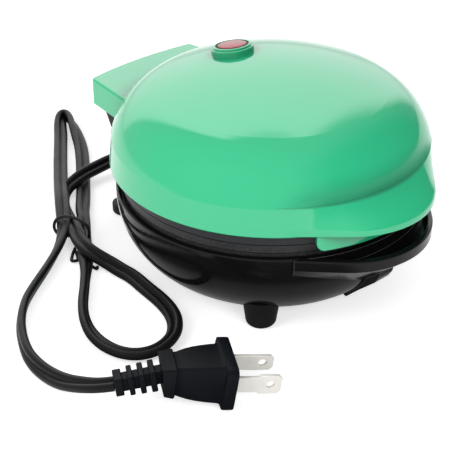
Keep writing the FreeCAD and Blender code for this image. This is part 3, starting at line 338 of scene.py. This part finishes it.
finishes = {
    # color and shade are mixed by cloudy handling marks, whose scale is marks; rough is the roughness
    # in the least and the most handled places; grain is the fine texture's scale and depth; soft is
    # the radius (mm) at which edges catch the light, and rim the paler colour painted on them as a
    # highlight; crevice is the reach (mm) and depth of the shade painted into inner corners; crease is
    # the visor's shade painted on the dome: the heights (mm) where it starts, is full and ends, the
    # y (mm) up to which it is full and at which it ends, its depth and the roughness it adds
    "mintGloss": dict(color=(0.030, 0.520, 0.247), shade=(0.028, 0.500, 0.236), rough=(0.07, 0.10),
                      grain=(260.0, 0.010), marks=22.0, soft=0.25, specular=0.6, paintedCornerShade=(11.0, 0.58),
                      crease=dict(height=(61.0, 61.5, 72.0), front=(-63.0, -49.0), depth=0.58, rough=0.80)),
    "blackGloss": dict(color=(0.0040, 0.0040, 0.0045), shade=(0.0060, 0.0060, 0.0066), rough=(0.10, 0.16),
                       grain=(300.0, 0.012), marks=24.0, soft=0.35, specular=0.16,
                       rim=(0.10, 0.10, 0.105)),
    "darkSatin": dict(color=(0.024, 0.025, 0.028), shade=(0.030, 0.031, 0.034), rough=(0.36, 0.46),
                      grain=(1500.0, 0.05), marks=40.0, soft=0.25, specular=0.25),
    "nonStick": dict(color=(0.016, 0.016, 0.017), shade=(0.034, 0.034, 0.036), rough=(0.34, 0.46),
                     grain=(1300.0, 0.08), marks=60.0, speckle=(0.09, 0.09, 0.095), specular=0.25),
    "cordCover": dict(color=(0.0060, 0.0060, 0.0070), shade=(0.0095, 0.0092, 0.0105), rough=(0.36, 0.48),
                      grain=(1600.0, 0.08), marks=60.0, specular=0.13),
    "plugCover": dict(color=(0.0042, 0.0046, 0.0064), shade=(0.0066, 0.0072, 0.0098), rough=(0.44, 0.58),
                      grain=(1500.0, 0.14), marks=70.0, specular=0.09, soft=0.3),
    "tieCover": dict(color=(0.0070, 0.0070, 0.0078), shade=(0.012, 0.012, 0.013), rough=(0.38, 0.50),
                     grain=(1800.0, 0.05), marks=80.0, specular=0.15),
    "footRubber": dict(color=(0.0070, 0.0070, 0.0072), shade=(0.013, 0.013, 0.013), rough=(0.42, 0.60),
                       grain=(1500.0, 0.14), marks=60.0, specular=0.07, soft=0.3),
    "bladeNickel": dict(color=(0.98, 0.96, 0.91), shade=(0.88, 0.85, 0.79), rough=(0.30, 0.44),
                        grain=(700.0, 0.05), marks=160.0, metallic=0.1),
    "platedSteel": dict(color=(0.56, 0.56, 0.56), shade=(0.44, 0.44, 0.45), rough=(0.25, 0.40),
                        grain=(800.0, 0.04), marks=120.0, metallic=1.0, soft=0.15),
    "elementSteel": dict(color=(0.33, 0.32, 0.31), shade=(0.22, 0.20, 0.19), rough=(0.35, 0.55),
                         grain=(900.0, 0.08), marks=90.0, metallic=1.0),
    "pressedSheet": dict(color=(0.70, 0.70, 0.71), shade=(0.58, 0.58, 0.60), rough=(0.28, 0.42),
                         grain=(600.0, 0.05), marks=50.0, metallic=1.0),
    "firedCeramic": dict(color=(0.72, 0.69, 0.62), shade=(0.62, 0.59, 0.53), rough=(0.55, 0.75),
                         grain=(900.0, 0.12), marks=90.0),
    "wovenSleeve": dict(color=(0.66, 0.63, 0.55), shade=(0.50, 0.47, 0.40), rough=(0.75, 0.9),
                        grain=(2200.0, 0.30), marks=200.0),
    "wireCover": dict(color=(0.70, 0.70, 0.67), shade=(0.60, 0.60, 0.57), rough=(0.45, 0.6),
                      grain=(1500.0, 0.08), marks=120.0),
    "redLens": dict(color=(0.40, 0.016, 0.022), shade=(0.30, 0.011, 0.015), rough=(0.14, 0.24),
                    grain=(500.0, 0.02), marks=120.0, specular=0.32),
    # painted shade: near-black red for the groove round the lens dome
    "lensGapShade": dict(color=(0.030, 0.004, 0.005), shade=(0.020, 0.003, 0.004), rough=(0.45, 0.6),
                    grain=(900.0, 0.02), marks=120.0, specular=0.1),
    "lampGlass": dict(color=(0.80, 0.80, 0.78), shade=(0.72, 0.72, 0.70), rough=(0.05, 0.12),
                      grain=(500.0, 0.01), marks=120.0),
}


def placeGroup(tree, group, values):
    node = tree.nodes.new("ShaderNodeGroup")
    node.node_tree = group
    for socket, value in values.items():
        node.inputs[socket].default_value = value
    return node.outputs


def softEdge(tree, radius):
    edge = tree.nodes.new("ShaderNodeBevel")
    edge.samples = surfaceEffects["edgeSamples"]
    edge.inputs["Radius"].default_value = radius * milli
    return edge.outputs["Normal"]


# Painted highlight: a paler colour along rims, where the softened normal turns from the face's own
def paintRimHighlights(tree, color, softNormal, rim):
    flat = tree.nodes.new("ShaderNodeNewGeometry").outputs["Normal"]
    turn = vectorNode(tree, "DOT_PRODUCT", softNormal, flat)
    return mixColor(tree, mapRange(tree, turn, surfaceEffects["rimTurn"], (1.0, 0.0)), color, rim)


# Painted shade: darkens the colour in inner corners, more where they are more closed in
def paintCornerShade(tree, color, reach, depth):
    corner = tree.nodes.new("ShaderNodeAmbientOcclusion")
    corner.only_local = True
    corner.inputs["Distance"].default_value = reach * milli
    dark = mapRange(tree, corner.outputs["AO"], surfaceEffects["paintedCornerShadeOpen"], (depth, 1.0))
    return mixColor(tree, 1.0, color, dark, "MULTIPLY")


# Painted shade: a soft band on the dome just above the visor, full at the front and fading upward and
# towards the sides
def creaseMask(tree, crease):
    split = tree.nodes.new("ShaderNodeSeparateXYZ")
    tree.links.new(tree.nodes.new("ShaderNodeTexCoord").outputs["Object"], split.inputs[0])
    start, line, end = (height * milli for height in crease["height"])
    above = mapRange(tree, split.outputs["Z"], (start, line), (0.0, 1.0))
    below = mapRange(tree, split.outputs["Z"], (line, end), (1.0, 0.0))
    front = mapRange(tree, split.outputs["Y"], [y * milli for y in crease["front"]], (1.0, 0.0))
    return mathNode(tree, "MULTIPLY", mathNode(tree, "MULTIPLY", above, below), front)


def makeFinish(name, settings):
    material = bpy.data.materials.new(name)
    material.use_nodes = True
    tree = material.node_tree
    shader = tree.nodes["Principled BSDF"]
    shader.inputs["Specular IOR Level"].default_value = settings.get("specular", 0.5)
    shader.inputs["Metallic"].default_value = settings.get("metallic", 0.0)

    low, high = settings["rough"]
    grainScale, grainDepth = settings["grain"]
    marks = placeGroup(tree, smudgeGroup, {"Scale": settings["marks"], "Low": low, "High": high})
    grain = placeGroup(tree, grainGroup, {"Scale": grainScale})
    bump = tree.nodes.new("ShaderNodeBump")
    bump.inputs["Strength"].default_value = grainDepth
    bump.inputs["Distance"].default_value = surfaceEffects["bumpHeight"] * milli
    tree.links.new(grain["Height"], bump.inputs["Height"])

    color = mixColor(tree, marks["Cloud"], settings["color"], settings["shade"])
    roughness = marks["Gloss"]
    if "speckle" in settings:
        color = mixColor(tree, grain["Speckle"], color, settings["speckle"])
    if "soft" in settings:
        softNormal = softEdge(tree, settings["soft"])
        tree.links.new(softNormal, bump.inputs["Normal"])
    # painted highlight along the rims
    if "rim" in settings:
        color = paintRimHighlights(tree, color, softNormal, settings["rim"])
    # painted shade in inner corners
    if "paintedCornerShade" in settings:
        color = paintCornerShade(tree, color, *settings["paintedCornerShade"])
    # painted shade of the visor on the dome: the colour darker there, the surface duller
    if "crease" in settings:
        crease = settings["crease"]
        mask = creaseMask(tree, crease)
        dark = mapRange(tree, mask, (0.0, 1.0), (1.0, crease["depth"]), smooth=False)
        color = mixColor(tree, 1.0, color, dark, "MULTIPLY")
        dull = mathNode(tree, "MULTIPLY", mask, mask)
        roughness = mathNode(tree, "MULTIPLY_ADD", dull, crease["rough"], roughness)
    tree.links.new(color, shader.inputs["Base Color"])
    tree.links.new(roughness, shader.inputs["Roughness"])
    tree.links.new(bump.outputs["Normal"], shader.inputs["Normal"])
    return material


materials = {name: makeFinish(name, settings) for name, settings in finishes.items()}
print("finishes:", len(materials))

slotFinish = {
    "mint_housing": "mintGloss", "black_housing": "blackGloss", "plate_coating": "nonStick",
    "element_steel": "elementSteel", "sheet_metal": "pressedSheet", "screw_steel": "platedSteel",
    "ceramic": "firedCeramic", "fuse_sleeve": "wovenSleeve", "wire_cover": "wireCover",
    "dark_plastic": "darkSatin", "foot_rubber": "footRubber", "cord_cover": "cordCover",
    "tie_wire": "tieCover", "plug_plastic": "plugCover", "blade_metal": "bladeNickel",
    "red_lens": "redLens", "lamp_glass": "lampGlass",
}
for part in frame["record"]["subparts"]:
    mesh = nodes[part["node"]].data
    mesh.materials.clear()
    mesh.materials.append(materials[slotFinish[part["material_slot"]]])


# Shape helpers

smoothAngle = 35.0  # degrees; sharper edges stay crisp


def turned(axis, degrees):
    return Matrix.Rotation(math.radians(degrees), 4, axis)


def circle(radius, turns):
    angles = [2 * math.pi * turn / turns for turn in range(turns)]
    return [(radius * math.cos(angle), radius * math.sin(angle)) for angle in angles]


def loftRings(bm, rings):
    # Each ring is a list of corners (mm); neighbours are joined and both ends closed
    rows = [[bm.verts.new(Vector(corner) * milli) for corner in ring] for ring in rings]
    count = len(rows[0])
    for first, second in zip(rows, rows[1:]):
        for index in range(count):
            after = (index + 1) % count
            bm.faces.new((first[index], first[after], second[after], second[index]))
    bm.faces.new(rows[0])
    bm.faces.new(rows[-1])


def finishPiece(bm, name, material):
    bmesh.ops.recalc_face_normals(bm, faces=bm.faces)
    limit = math.radians(smoothAngle)
    for face in bm.faces:
        face.smooth = True
    for edge in bm.edges:
        edge.smooth = edge.calc_face_angle(0.0) < limit
    mesh = bpy.data.meshes.new(name)
    bm.to_mesh(mesh)
    bm.free()
    mesh.materials.append(materials[material])
    return addObject(name, mesh)


def addSpline(data, kind, points):
    # points in metres; a line runs from its first point to its last, an outline closes
    spline = data.splines.new(kind)
    spline.points.add(len(points) - 1)
    for point, place in zip(spline.points, points):
        point.co = (*place, 1.0)
    if kind == "NURBS":
        spline.order_u = 3
        spline.use_endpoint_u = True
    else:
        spline.use_cyclic_u = True
    return spline


def flatPoints(points):
    return [(x * milli, y * milli, 0.0) for x, y in points]


def takePlace(piece, node, body="base"):
    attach(piece, body)
    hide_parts(node)
    return piece


# Indicator lens

lensShape = {
    "place": (0.0, 22.4, 88.25),    # mm, where its axis meets the dome
    "lean": -10.4,                  # degrees
    # radius, height above the dome (mm), from the collar's seat to the middle
    "rings": [(5.3, -1.0), (6.6, 1.5), (6.62, 2.62), (6.5, 2.74), (5.95, 2.74), (5.8, 2.86), (5.2, 3.02),
              (4.3, 3.14), (3.1, 3.24), (1.8, 3.30), (0.2, 3.32)],
    "gap": (2, 5),                  # the rings that bound the shadow line round the dome
    "turns": 64,
}


def makeLens():
    turns = lensShape["turns"]
    bm = bmesh.new()
    loftRings(bm, [[(x, y, height) for x, y in circle(radius, turns)]
                   for radius, height in lensShape["rings"]])
    # the groove's faces get the second material, a near-black red painted as shade
    low, high = lensShape["gap"]
    for face in list(bm.faces)[low * turns:high * turns]:
        face.material_index = 1
    lens = finishPiece(bm, "lensDome", "redLens")
    lens.data.materials.append(materials["lensGapShade"])
    lens.data.transform(Matrix.Translation(at(*lensShape["place"])) @ turned("X", lensShape["lean"]))
    return takePlace(lens, "indicator_lens", "lid")


makeLens()
print("lens made")


# Plug: x runs to the blade tips, y from blade to blade, z up

plugShape = {
    "place": (-76.06, -55.16, 9.9),   # mm from the plates' axis, middle of the flange
    "turn": -31.0,                    # degrees, as are tip, roll and droop
    "tip": 8.3,
    "roll": 1.6,
    "flange": (23.0, 18.2, 4.4),      # wide, high, deep
    "flangeEdge": 0.5,
    # along the soft edge and drawn in (both in parts of the edge), corner radius (mm)
    "flangeRings": [(0.0, 2.0, 2.4), (0.3, 0.6, 2.6), (1.0, 0.0, 2.8)],
    # back from the flange's middle, width, height, corner radius (mm)
    "grip": [(2.2, 18.0, 17.5, 2.6), (2.6, 17.0, 16.9, 2.4), (3.4, 16.4, 16.6, 2.2),
             (5.6, 16.0, 16.2, 2.0), (8.6, 15.4, 15.6, 1.8), (11.6, 14.5, 14.9, 1.6),
             (14.4, 13.3, 14.0, 1.4), (16.6, 12.1, 13.1, 1.3), (18.0, 11.2, 12.4, 1.2),
             (18.9, 11.0, 12.3, 1.2)],
    "collar": [(18.95, 13.4, 12.5, 1.2), (19.3, 14.0, 13.0, 1.2), (22.5, 12.9, 12.1, 1.1)],
    "collarEnd": (23.0, 12.2, 11.4, 0.9),
    "cornerSteps": 5,
    "droop": 14.0,                    # how far the strain relief hangs below the plug's axis
    "slot": (2.6, 8.4, 1.4),          # recess round a blade: across, high, deep
    "slotClear": 1.0,                 # how far the cutting box stands out of the flange
    "bladeGap": 12.7,
}

reliefShape = {
    "start": 23.0,        # mm back from the flange's middle
    "length": 17.3,
    "core": 5.6,
    "plates": [(2.4, 4.5, 9.0), (6.4, 8.4, 8.7), (10.4, 12.3, 8.4), (14.3, 17.3, 7.6)],  # from, to, side
    "chamfer": 0.8,
    "edge": 0.25,
}

bladeShape = {
    "root": 1.0,          # mm from the flange's middle, down in the recess
    "tip": 19.7,
    "width": 6.35,
    "thick": 1.5,
    "flare": 0.8,         # how much the wide blade gains on each side
    "flareStart": 11.7,
    "chamfer": 1.3,
    "hole": (15.5, 1.6),  # place, radius
    "holeTurns": 28,
    "bevel": 0.22,
    "bevelSteps": 2,
}

plugMatrix = (Matrix.Translation(at(*plugShape["place"])) @ turned("Z", plugShape["turn"])
              @ turned("Y", plugShape["tip"]) @ turned("X", plugShape["roll"]))
reliefMatrix = (plugMatrix @ Matrix.Translation((-reliefShape["start"] * milli, 0.0, 0.0))
                @ turned("Y", -90.0 - plugShape["droop"]))


def roundedSection(wide, high, corner):
    # Points round a rectangle with rounded corners, one way round
    steps = plugShape["cornerSteps"]
    points = []
    for quarter, (sideY, sideZ) in enumerate(((1, 1), (-1, 1), (-1, -1), (1, -1))):
        for step in range(steps + 1):
            angle = math.radians(90 * (quarter + step / steps))
            points.append((sideY * (wide / 2 - corner) + corner * math.cos(angle),
                           sideZ * (high / 2 - corner) + corner * math.sin(angle)))
    return points


def chamferedSection(side, chamfer):
    near, far = side / 2 - chamfer, side / 2
    return [(far, near), (near, far), (-near, far), (-far, near),
            (-far, -near), (-near, -far), (near, -far), (far, -near)]


def cutRecesses(piece, boxes):
    # boxes: low and high corners (mm, in the piece's own frame)
    bm = bmesh.new()
    for (lowX, lowY, lowZ), (highX, highY, highZ) in boxes:
        outline = [(lowY, lowZ), (highY, lowZ), (highY, highZ), (lowY, highZ)]
        loftRings(bm, [[(x, y, z) for y, z in outline] for x in (lowX, highX)])
    cutter = finishPiece(bm, "recessTool", "plugCover")
    cut = piece.modifiers.new("recesses", "BOOLEAN")
    cut.object = cutter
    cut.operation = "DIFFERENCE"
    cut.solver = "EXACT"
    bpy.context.view_layer.update()
    carved = bpy.data.meshes.new_from_object(piece.evaluated_get(bpy.context.evaluated_depsgraph_get()))
    piece.modifiers.clear()
    piece.data = carved
    bpy.data.objects.remove(cutter)


def makePlugBody():
    wide, high, deep = plugShape["flange"]
    edge = plugShape["flangeEdge"]
    front = [(edge * along - deep / 2, wide - inward * edge, high - inward * edge, corner)
             for along, inward, corner in plugShape["flangeRings"]]
    rear = [(-back, across, tall, corner) for back, across, tall, corner in reversed(front)]
    rings = [[(-back, y, z) for y, z in roundedSection(across, tall, corner)]
             for back, across, tall, corner in front + rear + plugShape["grip"] + plugShape["collar"]]
    back, across, tall, corner = plugShape["collarEnd"]
    lean = math.tan(math.radians(plugShape["droop"]))
    rings.append([(-back - lean * z, y, z) for y, z in roundedSection(across, tall, corner)])
    bm = bmesh.new()
    loftRings(bm, rings)
    body = finishPiece(bm, "plugBody", "plugCover")
    slotWide, slotHigh, slotDeep = plugShape["slot"]
    bottom, mouth = deep / 2 - slotDeep, deep / 2 + plugShape["slotClear"]
    half = plugShape["bladeGap"] / 2
    cutRecesses(body, [((bottom, side * half - slotWide / 2, -slotHigh / 2),
                        (mouth, side * half + slotWide / 2, slotHigh / 2)) for side in (1, -1)])
    body.matrix_world = plugMatrix
    return takePlace(body, "plug_body")


def makeRelief():
    core = reliefShape["core"]
    edge = reliefShape["edge"]
    rings = [(0.0, core)]
    for low, high, side in reliefShape["plates"]:
        rings += [(low, core), (low, side - 2 * edge), (low + edge, side), (high - edge, side),
                  (high, side - 2 * edge)]
        if high < reliefShape["length"]:
            rings.append((high, core))
    bm = bmesh.new()
    loftRings(bm, [[(x, y, z) for x, y in chamferedSection(side, reliefShape["chamfer"])]
                   for z, side in rings])
    relief = finishPiece(bm, "plugRelief", "plugCover")
    relief.matrix_world = reliefMatrix
    return takePlace(relief, "plug_relief")


def makeBlade(name, node, side, flare):
    top = bladeShape["width"] / 2
    tip, chamfer, bevel = bladeShape["tip"], bladeShape["chamfer"], bladeShape["bevel"]
    upper = [(bladeShape["root"], top)]
    if flare:
        upper += [(bladeShape["flareStart"] - flare, top), (bladeShape["flareStart"], top + flare)]
    upper += [(tip - chamfer, top + flare), (tip, top + flare - chamfer)]
    outline = upper + [(x, -z) for x, z in reversed(upper)]
    place, radius = bladeShape["hole"]
    hole = [(place + x, z) for x, z in circle(radius, bladeShape["holeTurns"])]
    data = bpy.data.curves.new(name, "CURVE")
    data.dimensions = "2D"
    data.fill_mode = "BOTH"
    for points in (outline, hole):
        addSpline(data, "POLY", flatPoints(points))
    data.bevel_depth = bevel * milli
    data.bevel_resolution = bladeShape["bevelSteps"]
    data.extrude = (bladeShape["thick"] / 2 - bevel) * milli
    data.offset = -bevel * milli
    data.materials.append(materials["bladeNickel"])
    blade = addObject(name, data)
    across = Matrix.Translation((0.0, side * plugShape["bladeGap"] / 2 * milli, 0.0))
    blade.matrix_world = plugMatrix @ across @ turned("X", 90.0)
    return takePlace(blade, node)


plugPieces = [
    makePlugBody(),
    makeRelief(),
    makeBlade("plugBladeWide", "plug_blade_wide", -1, bladeShape["flare"]),
    makeBlade("plugBladeNarrow", "plug_blade_narrow", 1, 0.0),
]
print("plug made")


# Power cord

cordShape = {
    "width": 6.7,          # mm, across the two cores
    "thick": 3.4,
    "grooveAngle": 158,    # how far round each core goes, either way, before the groove
    "coreSteps": 14,
    "smoothness": 10,      # steps from point to point
    # x, y, z, lean: mm from the plates' axis, and how far the flat side leans over (degrees)
    "route": [
        # out of the gland, round behind the heel and over one leg of the hairpin
        (6.0, 91.9, 10.0, 0), (5.4, 96.2, 9.9, -8), (1.4, 100.4, 9.4, -22), (-5.6, 102.3, 8.2, -32),
        (-12.2, 103.0, 7.1, -32), (-18.9, 103.2, 6.4, -28), (-25.1, 102.7, 5.0, -14),
        # under the other leg, through the tie and over the loop's return
        (-30.7, 102.2, 2.8, 0), (-36.2, 97.7, 1.9, 5), (-41.0, 90.3, 1.9, 8), (-44.9, 81.1, 2.2, 12),
        (-49.9, 70.3, 5.0, 15), (-55.5, 59.2, 6.2, 14), (-57.9, 50.7, 6.4, 12), (-56.9, 44.6, 5.0, 18),
        (-54.8, 38.7, 3.2, 25), (-54.2, 31.9, 2.6, 25),
        # the loop
        (-53.4, 25.4, 2.4, 20), (-54.8, 15.6, 2.4, 20), (-56.0, 3.6, 2.4, 20), (-58.8, -6.3, 2.5, 25),
        (-63.4, -13.5, 2.7, 30), (-69.4, -18.4, 2.5, 25), (-78.2, -20.2, 2.25, 15), (-85.6, -17.4, 2.1, 10),
        (-90.0, -11.6, 2.25, 15), (-91.6, -3.9, 2.4, 20), (-90.9, 4.4, 2.8, 35), (-87.3, 13.6, 3.35, 65),
        (-81.6, 22.2, 3.45, 80), (-74.6, 30.2, 3.45, 85), (-66.3, 40.3, 3.4, 78), (-58.8, 50.0, 2.4, 15),
        (-52.7, 59.1, 1.85, 5), (-47.0, 67.4, 2.1, 15), (-41.6, 73.8, 3.1, 45),
        # up one leg of the hairpin, round the fold, and down the other
        (-36.4, 82.0, 2.6, 30), (-29.4, 90.5, 2.0, 8), (-20.9, 101.7, 1.85, 4), (-8.5, 118.2, 1.85, 4),
        (0.0, 130.4, 1.9, 8), (5.6, 140.4, 2.3, 20), (10.2, 149.5, 3.0, 45), (13.9, 157.1, 3.4, 75),
        (15.3, 163.1, 3.5, 90), (13.1, 164.7, 3.4, 110), (8.4, 159.3, 2.8, 150), (1.9, 150.0, 2.1, 170),
        (-4.8, 141.1, 1.9, 176), (-16.4, 125.6, 1.9, 178), (-28.6, 108.6, 3.4, 180),
        (-36.6, 97.0, 5.6, 182), (-43.0, 87.6, 5.8, 188), (-49.2, 78.4, 5.4, 206), (-55.2, 70.4, 4.0, 228),
        # along the floor to the plug
        (-64.7, 61.9, 3.4, 242), (-77.4, 52.9, 3.35, 246), (-90.3, 44.5, 3.4, 250),
        (-98.8, 38.2, 3.45, 254), (-108.5, 26.9, 3.5, 260), (-115.6, 13.7, 3.5, 260),
        (-118.4, 5.0, 3.5, 250), (-119.2, -4.8, 3.7, 238), (-118.8, -15.1, 5.4, 215),
        (-116.6, -25.4, 8.8, 195), (-113.7, -32.0, 11.0, 183), (-110.3, -34.6, 11.5, 180),
    ],
    "length": 0.66,        # m
}


def twinProfile():
    # Two round cores side by side, with a groove between them
    core = cordShape["thick"] / 2
    offset = cordShape["width"] / 2 - core
    steps = cordShape["coreSteps"]
    points = []
    for side in (1, -1):
        for step in range(steps):
            angle = math.radians(cordShape["grooveAngle"] * (2 * step / (steps - 1) - 1))
            points.append((side * (offset + core * math.cos(angle)), side * core * math.sin(angle)))
    data = bpy.data.curves.new("cordSection", "CURVE")
    addSpline(data, "POLY", flatPoints(points))
    return bpy.data.objects.new("cordSection", data)


def makeCord():
    data = bpy.data.curves.new("powerCord", "CURVE")
    data.dimensions = "3D"
    data.twist_mode = "Z_UP"
    data.resolution_u = cordShape["smoothness"]
    route = cordShape["route"]
    spline = addSpline(data, "NURBS", [at(x, y, z) for x, y, z, lean in route])
    for point, (x, y, z, lean) in zip(spline.points, route):
        point.tilt = math.radians(lean)
    data.bevel_mode = "OBJECT"
    data.bevel_object = twinProfile()
    data.use_fill_caps = True
    data.materials.append(materials["cordCover"])
    return takePlace(addObject("powerCord", data), "power_cord")


cord = makeCord()
print("cord laid")


# Wire tie round the three strands

tieShape = {
    "wire": 0.70,          # mm, radius with its cover
    "wireSteps": 3,
    "smoothness": 8,
    # x, y, z: mm from the plates' axis
    "ring": [(-54.6, 73.5, 0.75), (-55.3, 77.4, 1.6), (-53.8, 79.3, 5.2), (-51.9, 76.6, 8.4),
             (-49.9, 71.3, 9.8), (-48.9, 65.5, 9.8), (-47.9, 61.8, 7.6), (-48.2, 60.9, 3.8),
             (-48.9, 63.4, 0.9), (-50.5, 70.4, 0.75)],
    "tails": [
        [(-55.0, 62.0, 0.8), (-58.0, 59.9, 0.8), (-62.3, 55.6, 0.8), (-63.4, 54.1, 0.8),
         (-62.3, 53.1, 0.8), (-60.9, 52.6, 0.8), (-57.8, 58.0, 0.8), (-57.6, 59.7, 1.2)],
        [(-59.7, 47.9, 0.7), (-59.6, 45.3, 0.7), (-59.4, 42.7, 0.7), (-59.2, 41.7, 0.8),
         (-58.3, 42.9, 1.0)],
    ],
}


def makeTie():
    data = bpy.data.curves.new("cordTie", "CURVE")
    data.dimensions = "3D"
    data.resolution_u = tieShape["smoothness"]
    ring = addSpline(data, "NURBS", [at(*spot) for spot in tieShape["ring"]])
    ring.use_cyclic_u = True
    for tail in tieShape["tails"]:
        addSpline(data, "NURBS", [at(*spot) for spot in tail])
    data.bevel_depth = tieShape["wire"] * milli
    data.bevel_resolution = tieShape["wireSteps"]
    data.use_fill_caps = True
    data.materials.append(materials["tieCover"])
    return takePlace(addObject("cordTie", data), "cord_tie")


tie = makeTie()
print("tie made")
